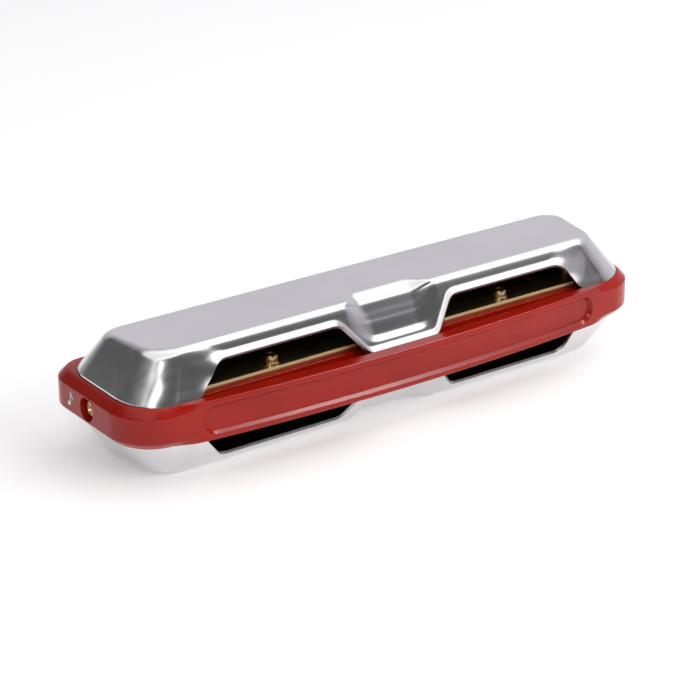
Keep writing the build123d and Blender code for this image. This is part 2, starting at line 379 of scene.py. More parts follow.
def back_stretch(path):
    """Columns of the back wall, which end on the free edge."""
    points, lengths = path
    along = np.linspace(0, lengths[-1], BACK_STATIONS)
    half_x = np.interp(along, lengths, points[:, 0])
    half_z = np.interp(along, lengths, points[:, 1])
    edge_x = np.concatenate([-half_x[::-1], half_x[1:]])
    edge_z = np.concatenate([half_z[::-1], half_z[1:]])
    crease_end = side_points(FLAT_CORNERS, FLAT_RADII, 0, [0, 1])[1, 0]
    crease_x = looked_up(np.abs(edge_x), CREASE_BY_EDGE + [(EDGE_END, crease_end)])
    crease_x *= np.sign(edge_x)
    share = (crease_x + crease_end) / (2 * crease_end)
    upright = edge_z + BACK_UPRIGHT
    foot = np.stack([edge_x, FLAT_BACK - wall_slope() * (TOP - upright)], -1)
    return (side_points(INNER_CORNERS, INNER_RADII, 0, share),
            side_points(FLAT_CORNERS, FLAT_RADII, 0, share),
            foot, edge_z, upright, np.full(len(edge_x), SHOULDER["back"]))


def corner_stretch(k):
    """Columns round corner k. Corners 0 and 1 are at the back, and 1 and 3 lead to an end wall."""
    t = np.linspace(0, 1, CORNER_STATIONS + 1)[1:-1]
    toward_end = t if k in (1, 3) else 1 - t
    upright, wall = (EDGE + BACK_UPRIGHT, "back") if k in (0, 1) else (UPRIGHT, "front")
    shoulder = mix(SHOULDER[wall], SHOULDER["end"], smooth(toward_end * CORNER_HASTE))
    return (corner_arc(INNER_CORNERS, INNER_RADII, k, CORNER_STATIONS)[1:-1],
            corner_arc(FLAT_CORNERS, FLAT_RADII, k, CORNER_STATIONS)[1:-1],
            corner_arc(BASE_CORNERS, BASE_RADII, k, CORNER_STATIONS)[1:-1],
            np.full(len(t), EDGE),
            mix(upright, UPRIGHT, smooth(toward_end)),
            shoulder + CORNER_SOFTENING * np.sin(math.pi * t))


def side_stretch(k):
    """Columns along side k, from corner k to the next one. Sides 1 and 3 are the ends, 2 the front."""
    wall = "front" if k == 2 else "end"
    share = np.linspace(0, 1, SIDE_STATIONS[wall] + 1)
    return (side_points(INNER_CORNERS, INNER_RADII, k, share),
            side_points(FLAT_CORNERS, FLAT_RADII, k, share),
            side_points(BASE_CORNERS, BASE_RADII, k, share),
            np.full(len(share), EDGE), np.full(len(share), UPRIGHT), np.full(len(share), SHOULDER[wall]))


def cover_surface():
    """Outer skin of the upper cover as a grid of points: one row per level, one column per station."""
    path = opening_path()
    stretches = [back_stretch(path)]
    for k in (1, 2, 3):
        stretches += [corner_stretch(k), side_stretch(k)]
    stretches.append(corner_stretch(0))
    inner, crease, foot, low, upright, shoulder = (np.concatenate(part) for part in zip(*stretches))
    on_back = np.arange(len(low)) < len(stretches[0][0])

    level = np.full(len(low), TOP)
    start, bend = np.column_stack([inner, level]), np.column_stack([crease, level])
    end = np.column_stack([foot, upright])
    d1, d2 = unit(bend - start), unit(end - bend)
    turn = np.arccos(np.clip((d1 * d2).sum(-1), -1, 1))
    reach = shoulder * np.tan(turn / 2)
    flat_length = np.linalg.norm(bend - start, axis=-1)
    wall_length = np.linalg.norm(end - bend, axis=-1)
    across = unit(d2 - (d1 * d2).sum(-1, keepdims=True) * d1)
    # Each row's points, and how far each point is past the crease
    rows, position = [], []
    for share in np.linspace(0, 1, FLAT_ROWS + 1)[:-1]:
        rows.append(start + d1 * (share * (flat_length - reach))[:, None])
        position.append(-flat_length + share * (flat_length - reach))
    for share in np.linspace(0, 1, SHOULDER_ROWS + 1):
        angle = (share * turn)[:, None]
        arc = np.sin(angle) * d1 + (1 - np.cos(angle)) * across
        rows.append(bend - d1 * reach[:, None] + shoulder[:, None] * arc)
        position.append(-reach + 2 * reach * share)
    for share in 1 - (1 - np.linspace(0, 1, WALL_ROWS + 1)[1:]) ** WALL_CROWDING:
        rows.append(bend + d2 * (reach + share * (wall_length - reach))[:, None])
        position.append(reach + share * (wall_length - reach))
    down = unit(np.where(on_back[:, None], d2, np.array([0.0, 0.0, -1.0])))
    drop = (upright - low) / -down[:, 2]
    for share in (0.5, 1):
        rows.append(end + down * (drop * share)[:, None])
        position.append(wall_length + drop * share)
    return shaped(np.array(rows), np.array(position), path)


def scoop_shift(grid, position):
    """How far the scoop moves each point in Y and Z, from the wall's own line to the scoop's."""
    x, y, z = grid[..., 0], grid[..., 1], grid[..., 2]
    share, line_y, line_z = scoop_line()
    slope = math.atan2(1, wall_slope())
    line_length = FLAT_LENGTH + (TOP - EDGE) / math.sin(slope)
    along = np.clip((position + FLAT_LENGTH) / line_length, 0, 1)
    radius = SHOULDER["back"]
    reach = radius * math.tan(slope / 2)
    q = along * line_length - FLAT_LENGTH
    angle = np.clip((q + reach) / (2 * reach), 0, 1) * slope
    bend_out, bend_down = -reach + radius * np.sin(angle), radius * (1 - np.cos(angle))
    out = np.where(q < -reach, q, np.where(q > reach, q * math.cos(slope), bend_out))
    fall = np.where(q < -reach, 0, np.where(q > reach, q * math.sin(slope), bend_down))
    dy = np.interp(along, share, line_y) - (FLAT_BACK - out)
    dz = np.interp(along, share, line_z) - (TOP - fall)
    border = looked_up(z, [(EDGE, STRUT_FOOT), (OPENING_TOP, STRUT_HEAD)]) - SCOOP_MARGIN
    widest = np.where(q < 0, looked_up(q, SCOOP_RIM), np.minimum(border, SCOOP_WIDEST))
    floor = looked_up(q, SCOOP_FLOOR)
    ramp = np.clip((np.abs(x) - floor) / np.maximum(widest - floor, SCOOP_NARROWEST), 0, 1)
    weight = 1 - ((1 - SCOOP_SOFTNESS) * ramp + SCOOP_SOFTNESS * smooth(ramp))
    weight = np.where((y < 0) & (np.abs(x) < SCOOP_LIMIT), weight, 0)
    return weight * dy, weight * dz


def lip_reach(grid, path):
    """How far the lip carries each point backwards."""
    x, y, z = grid[..., 0], grid[..., 1], grid[..., 2]
    distance, along = edge_distance(x, z, path)
    lobe = smooth((along - (path[1][-1] - LOBE_START)) / LOBE_BLEND)
    strength = mix(LIP_REACH, LOBE_FLARE * smooth((z - LOBE_LOW) / LOBE_FADE), lobe)
    nearness = np.clip(1 - distance / mix(LIP_WIDTH, LOBE_WIDTH, lobe), 0, 1)
    lip = strength * nearness ** mix(LIP_POWER, LOBE_POWER, lobe)
    return np.where(y < LIP_BACK, lip * smooth((LIP_END - np.abs(x)) / LIP_END_FADE), 0)


def shaped(grid, position, path):
    """The skin with the strut's scoop and the lips around the openings."""
    dy, dz = scoop_shift(grid, position)
    y = grid[..., 1] + dy - lip_reach(grid, path)
    return np.stack([grid[..., 0], y, grid[..., 2] + dz], -1)


def cover(name, up, outside, inside, edge):
    """One cover's sheet: the shaped skin with its thickness. Its top is up (1) or down (-1)."""
    grid = cover_surface()
    rows, columns = grid.shape[:2]
    points = grid.reshape(-1, 3) * np.array([1, 1, up])
    faces = grid_faces(rows, columns)
    faces.append(tuple(reversed(range(columns))))
    if up > 0:
        faces = [tuple(reversed(face)) for face in faces]
    skin = mesh_object(name + "_skin", points, faces, outside)
    skin.data.materials.append(inside)
    skin.data.materials.append(edge)
    solid = skin.modifiers.new("sheet", "SOLIDIFY")
    solid.thickness = SHEET * MM
    solid.offset = -1
    solid.use_even_offset = True
    solid.material_offset = 1
    solid.material_offset_rim = 2
    return applied(skin, name, angle=38)


TAB_OUTER_X = 50.75
TAB_Y = 2.05
TAB_HALF_WIDTH = 3.0
TAB_REACH = 2.3                # how far a tab reaches past the middle plane
TAB_RADIUS = 0.8
SHANK_HOLE = 0.85


def tabs(name, up, outer_x, top, material):
    """The two end tabs of a cover: strips of its sheet with round corners and a screw hole."""
    shapes, holes = [], []
    for side in (-1, 1):
        outline = rounded_rectangle(2 * TAB_HALF_WIDTH, top + TAB_REACH, TAB_RADIUS,
                                    (TAB_Y, up * (top - TAB_REACH) / 2))
        low_x, high_x = sorted((side * outer_x, side * (outer_x - SHEET)))
        shapes.append(prism(outline, low_x, high_x, axis=0))
        holes.append(prism(circle(SHANK_HOLE, (TAB_Y, 0)), low_x - 1, high_x + 1, axis=0))
    return cut(name, joined_shapes(shapes), [joined_shapes(holes)], material)


# ---------------- comb

COMB_HALF_LENGTH = 52.87
COMB_HALF_DEPTH = 15.28
BACK_BOW = 3.5                 # how far the back's middle stands behind the ends of its arc
FRONT_RADIUS = 5.6
BACK_RADIUS = 8.0
OUTLINE_STATIONS = {"back": 70, "back_corner": 30, "end": 14, "front_corner": 24, "front": 40}
# Profiles of the outer wall, from its crease up, as (distance inwards, height) points
RIM_PROFILE = [(0, 2.08), (0.03, 2.2), (0.12, 2.34), (0.95, 3.17),
               (1.12, 3.33), (1.3, 3.47), (1.52, 3.58), (1.8, 3.65)]
RAIL_PROFILE = [(0, 2.08), (0, 2.35), (0, 2.7), (0, 3.1),
                (0.02, 3.28), (0.07, 3.38), (0.15, 3.43), (0.27, 3.44)]
CAP_INSET = 3.5                # the flat faces that close the blank start this far inwards
RAIL_HALF_LENGTH = 40.0
RAIL_THICKNESS = 2.4
RAIL_END_GAP = 0.5             # the rail's profile starts to turn into the rim's past this
RAIL_END_BLEND = 5.5
CORE_TOP = 3.0
CORE_BACK = -9.95
GROOVE_FLOOR = 1.2
POCKET_GAP = 0.12
PAD_HALF_WIDTH = 9.5
PAD_DEPTH = 4.0
PAD_RADIUS = 0.3
SEAT_HALF_LENGTH = 47.02
SEAT_FRONT = 11.52
SEAT_RADIUS = 2.0
PANEL_HALF_LENGTH = 40.4
PANEL_HALF_HEIGHT = 2.55
# How much smaller the panel is at each depth, from outside the rail to the panel's floor
PANEL_PROFILE = [(-1.5, 0), (0, 0), (0.05, 0.02), (0.13, 0.08), (0.52, 0.44), (0.61, 0.51), (0.65, 0.45)]
PANEL_END_FLAT = 0.01          # half of the straight stretch between the arcs of each end
PANEL_ARC_STEPS = 14
PANEL_RUN_STEPS = 60
HOLE_PITCH = 7.5
HOLES = 10
CHAMBER_WIDTH = 5.0
CHAMBER_FRONT = 11.0
CHAMBER_RADIUS = 0.4
CHAMBER_MARGIN = 0.5           # length of the chamber past the reed's tip
MOUTH_RADIUS = 0.6
SCREW_HOLE = 2.02
SCREW_HOLE_ENDS = (50.8, 54.0)  # an end screw's counterbore, from its floor to past the comb
TAB_SLOT_X = 50.325
TAB_SLOT = (0.95, 6.4, 0.1)    # width, depth and corner radius
HIGH = 6.0                     # above the comb, where cutters end


def back_circle():
    """Radius of the bowed back and the Y of its centre."""
    radius = (COMB_HALF_LENGTH ** 2 + BACK_BOW ** 2) / (2 * BACK_BOW)
    return radius, radius - COMB_HALF_DEPTH


def arc_stations(x, y, radius, start, end, part):
    """Stations on an arc about (x, y): its points and their directions, as angles from -Y."""
    angles = np.linspace(start, end, OUTLINE_STATIONS[part])
    return [(x + radius * math.sin(a), y - radius * math.cos(a), a) for a in angles]


def comb_outline():
    """Stations around the comb: points on its wall and their outward directions."""
    radius, centre = back_circle()
    corner_x = COMB_HALF_LENGTH - BACK_RADIUS
    corner_y = centre - math.sqrt((radius - BACK_RADIUS) ** 2 - corner_x ** 2)
    turn = math.asin(corner_x / (radius - BACK_RADIUS))
    front_x, front_y = COMB_HALF_LENGTH - FRONT_RADIUS, COMB_HALF_DEPTH - FRONT_RADIUS
    quarter = math.pi / 2
    end_y = np.linspace(corner_y, front_y, OUTLINE_STATIONS["end"])[1:]
    along_front = np.linspace(front_x, 0, OUTLINE_STATIONS["front"])[1:]
    half = arc_stations(0, centre, radius, 0, turn, "back")
    half += arc_stations(corner_x, corner_y, BACK_RADIUS, turn, quarter, "back_corner")[1:]
    half += [(COMB_HALF_LENGTH, y, quarter) for y in end_y]
    half += arc_stations(front_x, front_y, FRONT_RADIUS, quarter, 2 * quarter, "front_corner")[1:]
    half += [(x, COMB_HALF_DEPTH, 2 * quarter) for x in along_front]
    stations = half + [(-x, y, -a) for x, y, a in half[-2:0:-1]]
    points = np.array([(x, y) for x, y, a in stations])
    outward = np.array([(math.sin(a), -math.cos(a)) for x, y, a in stations])
    return points, outward


def comb_blank():
    """The comb before its pockets, with the rim's profile, which turns into the rail's at the back."""
    points, outward = comb_outline()
    x, y = points[:, 0], points[:, 1]
    past_rail = np.abs(x) - RAIL_HALF_LENGTH - RAIL_END_GAP
    rail = np.where(y < 0, 1 - smooth(past_rail / RAIL_END_BLEND), 0)[:, None]
    upper = []
    for (d0, z0), (d1, z1) in zip(RIM_PROFILE, RAIL_PROFILE):
        upper.append((mix(d0, d1, rail), mix(z0, z1, rail)))
    upper.append((np.full_like(rail, CAP_INSET), upper[-1][1]))
    rings = [(d, -z) for d, z in reversed(upper)]
    rings += [(np.zeros_like(rail), np.zeros_like(rail))] + upper
    grid = np.array([np.concatenate([points - outward * d, z], 1) for d, z in rings])
    rows, columns = grid.shape[:2]
    faces = grid_faces(rows, columns)
    faces += [tuple(reversed(range(columns))), tuple(range((rows - 1) * columns, rows * columns))]
    return grid.reshape(-1, 3), faces


def hole_x(hole):
    """Centre of a mouth hole, numbered from 1 at +X."""
    return ((HOLES + 1) / 2 - hole) * HOLE_PITCH


def reed_box(kind, hole):
    """Lowest and highest corners of a reed's moving part, in millimetres."""
    low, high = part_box(f"{kind}_reed_{hole}")
    return Vector(low) / MM, Vector(high) / MM


def groove_outline(side):
    """Plan of one half of the groove between the core and the rail."""
    radius, centre = back_circle()
    inner = radius - RAIL_THICKNESS
    xs = np.linspace(STRUT_FOOT, RAIL_HALF_LENGTH, 24)
    outline = [(side * x, centre - math.sqrt(inner ** 2 - x ** 2)) for x in xs]
    outline += [(side * RAIL_HALF_LENGTH, CORE_BACK), (side * STRUT_FOOT, CORE_BACK)]
    return outline


def panel_cutter():
    """Shallow stadium with sloping walls that follows the bowed back of the rail."""
    radius, centre = back_circle()
    rings = []
    for depth, shrink in PANEL_PROFILE:
        outline = rounded_rectangle(2 * (PANEL_HALF_LENGTH - shrink), 2 * (PANEL_HALF_HEIGHT - shrink),
                                    PANEL_HALF_HEIGHT - shrink - PANEL_END_FLAT, steps=PANEL_ARC_STEPS)
        ring = []
        for k, (x, z) in enumerate(outline):
            next_x, next_z = outline[(k + 1) % len(outline)]
            is_run = abs(next_x - x) > PANEL_HALF_LENGTH / 4
            for share in np.linspace(0, 1, (PANEL_RUN_STEPS if is_run else 1) + 1)[:-1]:
                px, pz = x + (next_x - x) * share, z + (next_z - z) * share
                ring.append((px, centre - math.sqrt((radius - depth) ** 2 - px ** 2), pz))
        rings.append(ring)
    grid = np.array(rings)
    rows, columns = grid.shape[:2]
    points = list(map(tuple, grid.reshape(-1, 3)))
    faces = grid_faces(rows, columns)
    # The floor and the back are closed by strips between their upper and lower edges, which start
    # at the end of the first round corner and run the same way from both ends of the stadium
    for first in (0, (rows - 1) * columns):
        order = [first + (k + PANEL_ARC_STEPS) % columns for k in range(columns)]
        for k in range(columns // 2 - 1):
            faces.append((order[k], order[k + 1], order[-k - 2], order[-k - 1]))
    return points, faces


def comb(name, material):
    """The comb with its pockets, groove, chambers, mouth holes, panel, tab slots and screw holes."""
    cutters = []
    pocket = rounded_rectangle(2 * (BASE_HALF_LENGTH + POCKET_GAP), BASE_FRONT - LEDGE_BACK + 2 * POCKET_GAP,
                               BASE_RADIUS + POCKET_GAP, (0, (BASE_FRONT + LEDGE_BACK) / 2), 16)
    seat_back = CORE_BACK - 1
    seat = rounded_rectangle(2 * SEAT_HALF_LENGTH, SEAT_FRONT - seat_back, SEAT_RADIUS,
                             (0, (SEAT_FRONT + seat_back) / 2))
    pad = rounded_rectangle(2 * PAD_HALF_WIDTH, PAD_DEPTH, PAD_RADIUS,
                            (0, -COMB_HALF_DEPTH + RAIL_THICKNESS + PAD_DEPTH / 2))
    for side in (-1, 1):
        for outline, floor in ((pocket, EDGE), (seat, CORE_TOP), (pad, EDGE)):
            cutters.append(prism(outline, *sorted((side * floor, side * HIGH))))
        low, high = sorted((side * GROOVE_FLOOR, side * HIGH))
        cutters.append(joined_shapes(prism(groove_outline(half), low, high) for half in (-1, 1)))
    chambers, mouths = [], []
    for hole in range(1, HOLES + 1):
        back = reed_box("blow", hole)[0].y - CHAMBER_MARGIN
        chamber = rounded_rectangle(CHAMBER_WIDTH, CHAMBER_FRONT - back, CHAMBER_RADIUS,
                                    (hole_x(hole), (CHAMBER_FRONT + back) / 2))
        chambers.append(prism(chamber, -HIGH, HIGH))
        mouth = rounded_rectangle(CHAMBER_WIDTH, CHAMBER_WIDTH, MOUTH_RADIUS, (hole_x(hole), 0))
        mouths.append(prism(mouth, CHAMBER_FRONT - 1, COMB_HALF_DEPTH + 1, axis=1))
    slots, screw_holes = [], []
    for side in (-1, 1):
        slots.append(prism(rounded_rectangle(*TAB_SLOT, (side * TAB_SLOT_X, TAB_Y)), -HIGH, HIGH))
        low, high = sorted(side * x for x in SCREW_HOLE_ENDS)
        screw_holes.append(prism(circle(SCREW_HOLE, (TAB_Y, 0), 64), low, high, axis=0))
    cutters += [joined_shapes(part) for part in (chambers, mouths, slots, screw_holes)]
    cutters.append(panel_cutter())
    piece = cut(name, comb_blank(), cutters, material, angle=32)
    piece.modifiers.new("even_shading", "WEIGHTED_NORMAL").keep_sharp = True
    return piece


# ---------------- reeds, rivets and screws

SLOT_FRONT = 8.6
HEEL_LENGTH = 2.3
HEEL_WIDTH = 2.8
HEEL_RADIUS = 0.35
NECK_START = 0.25              # the tongue widens to the heel from this far before the slot's front
NECK_LENGTH = 0.35
TIP_TAPER = 0.06               # how much each side of a tongue narrows over the taper's length
TAPER_LENGTH = 14.0
FILED_DEPTH = 0.05             # the tongue is filed thinner by this
FILED_PLACE = 0.35             # around this share of its length from the tip
FILED_LENGTH = 2.5
PLATE_UNDERSIDES = {"blow": 3.0, "draw": -4.0}
PLATE = 1.0
REED = 0.2
RIVET_Y = 9.75
RIVET_SHANK = 0.5
RIVET_HEAD = 0.85
RIVET_RIM = 0.05               # height of the head's upright rim, under its dome
RIVET_DOME = 0.2


def reed(kind, hole, material):
    """One reed as a single strip: a round-cornered heel, and a tongue that narrows a little to its tip."""
    low, high = reed_box(kind, hole)
    centre, half = (low.x + high.x) / 2, (high.x - low.x) / 2
    heel_end = SLOT_FRONT + HEEL_LENGTH
    # Stations along the tongue, along its neck and round the heel's corners
    ys = np.concatenate([np.linspace(low.y, SLOT_FRONT - 0.3, 36),
                         np.linspace(SLOT_FRONT - 0.2, SLOT_FRONT + 0.1, 5),
                         heel_end - HEEL_RADIUS * (1 - np.sin(np.linspace(-1.4, math.pi / 2, 9)))])
    corner = np.clip((ys - (heel_end - HEEL_RADIUS)) / HEEL_RADIUS, 0, 1)
    heel_halves = HEEL_WIDTH / 2 - HEEL_RADIUS * (1 - np.sqrt(1 - corner ** 2))
    tongue_halves = half - TIP_TAPER * np.clip((SLOT_FRONT - ys) / TAPER_LENGTH, 0, 1)
    halves = mix(tongue_halves, heel_halves, smooth((ys - SLOT_FRONT + NECK_START) / NECK_LENGTH))
    past_filed = ys - low.y - FILED_PLACE * (SLOT_FRONT - low.y)
    thick = REED - FILED_DEPTH * np.exp(-(past_filed / FILED_LENGTH) ** 2)
    points = []
    for y, w, t in zip(ys, halves, thick):
        section = ((-w, high.z), (w, high.z), (w, high.z - t), (-w, high.z - t))
        points += [(centre + x, y, z) for x, z in section]
    count = len(ys)
    faces = grid_faces(count, 4)
    faces += [(3, 2, 1, 0), tuple(4 * (count - 1) + k for k in range(4))]
    return mesh_object(f"{kind}_reed_strip_{hole}", points, faces, material)


def rivets(kind, material):
    """The ten rivets of a plate, each with a domed head on both sides."""
    under = PLATE_UNDERSIDES[kind] - REED
    over = PLATE_UNDERSIDES[kind] + PLATE
    dome = [(RIVET_HEAD * math.cos(a), RIVET_RIM + RIVET_DOME * math.sin(a))
            for a in np.linspace(0, math.pi / 2, 8)[:-1]]
    crown = RIVET_RIM + RIVET_DOME
    profile = [(0, under - crown)] + [(r, under - h) for r, h in reversed(dome)]
    profile += [(RIVET_HEAD, under), (RIVET_SHANK, under), (RIVET_SHANK, over), (RIVET_HEAD, over)]
    profile += [(r, over + h) for r, h in dome] + [(0, over + crown)]
    shape = turned(profile, 24)
    shapes = [placed(shape, Matrix.Translation((hole_x(hole), RIVET_Y, 0))) for hole in range(1, HOLES + 1)]
    return mesh_object(f"{kind}_rivets", *joined_shapes(shapes), material)


PLATE_SCREWS = [(side * x, y) for side in (-1, 1) for x, y in ((23.8, -7.5), (41.5, 8.0), (41.5, -4.5))]
PLATE_TOP = 4.0
SCREW_TOP = PLATE_TOP + 1.7
# From the bottom of the socket over the head, collar and shank to the point, as (radius, height)
PLATE_SCREW_PROFILE = [
    (0, SCREW_TOP - 0.95), (0.62, SCREW_TOP - 0.75), (0.65, SCREW_TOP - 0.1), (0.72, SCREW_TOP),
    (0.95, SCREW_TOP), (1.12, SCREW_TOP - 0.06), (1.22, SCREW_TOP - 0.2), (1.25, SCREW_TOP - 0.4),
    (1.25, PLATE_TOP + 0.55), (1.38, PLATE_TOP + 0.48), (1.45, PLATE_TOP + 0.38), (1.45, PLATE_TOP),
    (0.8, PLATE_TOP), (0.8, -PLATE_TOP + 0.2), (0.6, -PLATE_TOP), (0, -PLATE_TOP)]


def plate_screws(material):
    """Six screws through both plates: a collar, a domed head and a round socket with a drill point."""
    shape = turned(PLATE_SCREW_PROFILE[::-1], 32)
    shapes = [placed(shape, Matrix.Translation((x, y, 0))) for x, y in PLATE_SCREWS]
    return mesh_object("plate_screws", *joined_shapes(shapes), material, angle=30)


# From the point over the shank to the middle of the pan head, as (radius, height above the seat)
END_SCREW_PROFILE = [(0, -5.0), (0.55, -5.0), (0.8, -4.7), (0.8, 0), (1.45, 0), (1.5, 0.06),
                     (1.5, 1.0), (1.46, 1.17), (1.33, 1.32), (1.05, 1.43), (0.6, 1.485), (0, 1.5)]
# Half length, half width and height of one arm of the cross recess, over its mouth and at its floor
RECESS_ENDS = [(0.92, 0.25, 1.7), (0.55, 0.17, 0.8)]
RECESS_TURN = 35               # degrees


def end_screw(name, side, material):
    """A pan head screw with a cross recess, lying along X with its head outwards."""
    outward = Matrix.Translation((side * TAB_OUTER_X, TAB_Y, 0)) @ Matrix.Rotation(side * math.pi / 2, 4, "Y")
    points = []
    for a, b, height in RECESS_ENDS:
        points += [(-a, -b, height), (a, -b, height), (a, b, height), (-a, b, height)]
    faces = [(0, 1, 2, 3), (7, 6, 5, 4)] + [(k, 4 + k, 4 + (k + 1) % 4, (k + 1) % 4) for k in range(4)]
    arms = []
    for turn in (0, math.pi / 2):
        tilt = Matrix.Rotation(turn + math.radians(RECESS_TURN), 4, "Z")
        arms.append(placed((points, faces), outward @ tilt))
    return cut(name, placed(turned(END_SCREW_PROFILE, 40), outward), arms, material, angle=30)


# Outlines of a quaver in millimetres from the middle of its head, and where that is on the end
NOTE_STEM = [(0.36, 0.1), (0.52, 0.16), (0.52, 2.1), (0.36, 2.1)]
NOTE_FLAG = [(0.5, 2.1), (0.5, 1.62), (0.85, 1.38), (1.02, 1.0), (0.98, 0.62),
             (1.14, 0.8), (1.2, 1.12), (1.02, 1.52), (0.7, 1.84)]
NOTE_HEAD = (0.52, 0.36)       # half length and half width
NOTE_TILT = 0.4                # radians
NOTE_Y = 7.6
NOTE_Z = -0.75
INK_THICKNESS = 0.02
INK_ROOT = 0.05                # how far the mark's solid reaches into the comb


def key_mark(name, material):
    """A printed quaver on the hole 10 end, where such an instrument carries its key."""
    long, short = NOTE_HEAD
    cos, sin = math.cos(NOTE_TILT), math.sin(NOTE_TILT)
    angles = np.linspace(0, 2 * math.pi, 33)[:-1]
    head = [(long * math.cos(a) * cos - short * math.sin(a) * sin,
             long * math.cos(a) * sin + short * math.sin(a) * cos) for a in angles]
    shapes = []
    for outline in (head, NOTE_STEM, NOTE_FLAG):
        # Seen from outside, the mark reads with its right towards -Y
        outline = [(NOTE_Y - a, b + NOTE_Z) for a, b in outline]
        shapes.append(prism(outline, -COMB_HALF_LENGTH - INK_THICKNESS, -COMB_HALF_LENGTH + INK_ROOT, axis=0))
    return mesh_object(name, *joined_shapes(shapes), material)


# ---------------- materials

NOISE_RANGE = (0.3, 0.7)       # a noise's values are mostly between these
BURNISH_LOW = 3.4              # lower edge of the bright band on the upper plate, in millimetres
BURNISH_FADE = 0.15
BURNISH_METAL = 0.3
FACES_BACK = -0.7              # a face whose normal's Y is below this faces backwards
FLOOR_GLOW = 0.22


def node_material(name):
    """A new material, its node tree and the inputs of its main shader."""
    material = bpy.data.materials.new(name)
    material.use_nodes = True
    tree = material.node_tree
    return material, tree, tree.nodes["Principled BSDF"].inputs


def noise(tree, scale, stretch=(1, 1, 1), detail=4):
    """A noise in object space, in metres. A small stretch draws it out along that axis."""
    place = tree.nodes.new("ShaderNodeTexCoord")
    mapping = tree.nodes.new("ShaderNodeMapping")
    mapping.inputs["Scale"].default_value = stretch
    tree.links.new(place.outputs["Object"], mapping.inputs["Vector"])
    node = tree.nodes.new("ShaderNodeTexNoise")
    node.inputs["Scale"].default_value = scale
    node.inputs["Detail"].default_value = detail
    tree.links.new(mapping.outputs["Vector"], node.inputs["Vector"])
    return node.outputs[0]


def ramp(tree, source, low, high, ends=NOISE_RANGE):
    """A colour ramp between two colours, or two greys given as numbers."""
    node = tree.nodes.new("ShaderNodeValToRGB")
    for element, place, colour in zip(node.color_ramp.elements, ends, (low, high)):
        element.position = place
        element.color = (*np.broadcast_to(colour, 3), 1)
    tree.links.new(source, node.inputs["Fac"])
    return node.outputs["Color"]


def vary(tree, socket, source, low, high):
    """Makes a shader's input vary between two colours or numbers with a noise."""
    tree.links.new(ramp(tree, source, low, high), socket)


def bump(tree, socket, source, strength, distance, below=None):
    """Gives a shader a bump, over the normals of another node if there is one below."""
    node = tree.nodes.new("ShaderNodeBump")
    node.inputs["Strength"].default_value = strength
    node.inputs["Distance"].default_value = distance
    tree.links.new(source, node.inputs["Height"])
    if below is not None:
        tree.links.new(below, node.inputs["Normal"])
    tree.links.new(node.outputs["Normal"], socket)


def rounded_edges(tree, radius):
    """Normals that round off every edge by a radius in metres."""
    node = tree.nodes.new("ShaderNodeBevel")
    node.samples = 4
    node.inputs["Radius"].default_value = radius
    return node.outputs["Normal"]


def steel_material():
    """Satin stainless sheet: fine lengthways grain, faint smudges."""
    material, tree, shader = node_material("satin_steel")
    shader["Metallic"].default_value = 1.0
    smudge = noise(tree, 60)
    grain = noise(tree, 900, stretch=(0.12, 1.2, 1.2), detail=5)
    vary(tree, shader["Base Color"], smudge, (0.74, 0.73, 0.74), (0.80, 0.79, 0.80))
    vary(tree, shader["Roughness"], grain, 0.20, 0.265)
    bump(tree, shader["Normal"], grain, 0.03, 0.00002)
    return material


def cut_steel_material():
    """The sheet's sheared edge: duller than its faces, with fine upright score marks."""
    material, tree, shader = node_material("cut_steel")
    shader["Metallic"].default_value = 1.0
    score = noise(tree, 1400, stretch=(1, 0.2, 0.2))
    vary(tree, shader["Base Color"], score, (0.36, 0.35, 0.35), (0.50, 0.49, 0.49))
    shader["Roughness"].default_value = 0.4
    return material


def shaded_inner_steel_material():
    """The covers' inside: dull rolled sheet with painted shade, its colour nearly black to stand in for the
    shadow within the covers.
    """
    material, tree, shader = node_material("inner_steel_painted_shade")
    shader["Metallic"].default_value = 1.0
    cloud = noise(tree, 120)
    # Painted shade: a near-black colour in place of the shadow inside the covers
    vary(tree, shader["Base Color"], cloud, (0.05, 0.048, 0.046), (0.09, 0.087, 0.083))
    shader["Roughness"].default_value = 0.5
    return material


def comb_material():
    """Red moulded ABS with a satin spark-eroded texture."""
    material, tree, shader = node_material("red_abs")
    cloud = noise(tree, 90)
    pits = noise(tree, 3800, detail=3)
    vary(tree, shader["Base Color"], cloud, (0.29, 0.006, 0.001), (0.35, 0.008, 0.002))
    vary(tree, shader["Roughness"], pits, 0.20, 0.25)
    bump(tree, shader["Normal"], pits, 0.03, 0.00001, rounded_edges(tree, 0.0002))
    shader["Specular IOR Level"].default_value = 0.32
    return material


def print_material():
    """White pad-printed ink."""
    material, tree, shader = node_material("white_ink")
    speckle = noise(tree, 2500)
    vary(tree, shader["Base Color"], speckle, (0.78, 0.72, 0.70), (0.86, 0.82, 0.80))
    shader["Roughness"].default_value = 0.5
    return material


def brass_material(name, low, high, roughness, stretch=(1, 1, 1)):
    """Brass with a clouded colour and a grain."""
    material, tree, shader = node_material(name)
    shader["Metallic"].default_value = 1.0
    cloud = noise(tree, 220)
    grain = noise(tree, 1500, stretch=stretch)
    vary(tree, shader["Base Color"], cloud, low, high)
    vary(tree, shader["Roughness"], grain, roughness - 0.05, roughness + 0.07)
    bump(tree, shader["Normal"], grain, 0.2, 0.00002, rounded_edges(tree, 0.00012))
    return material


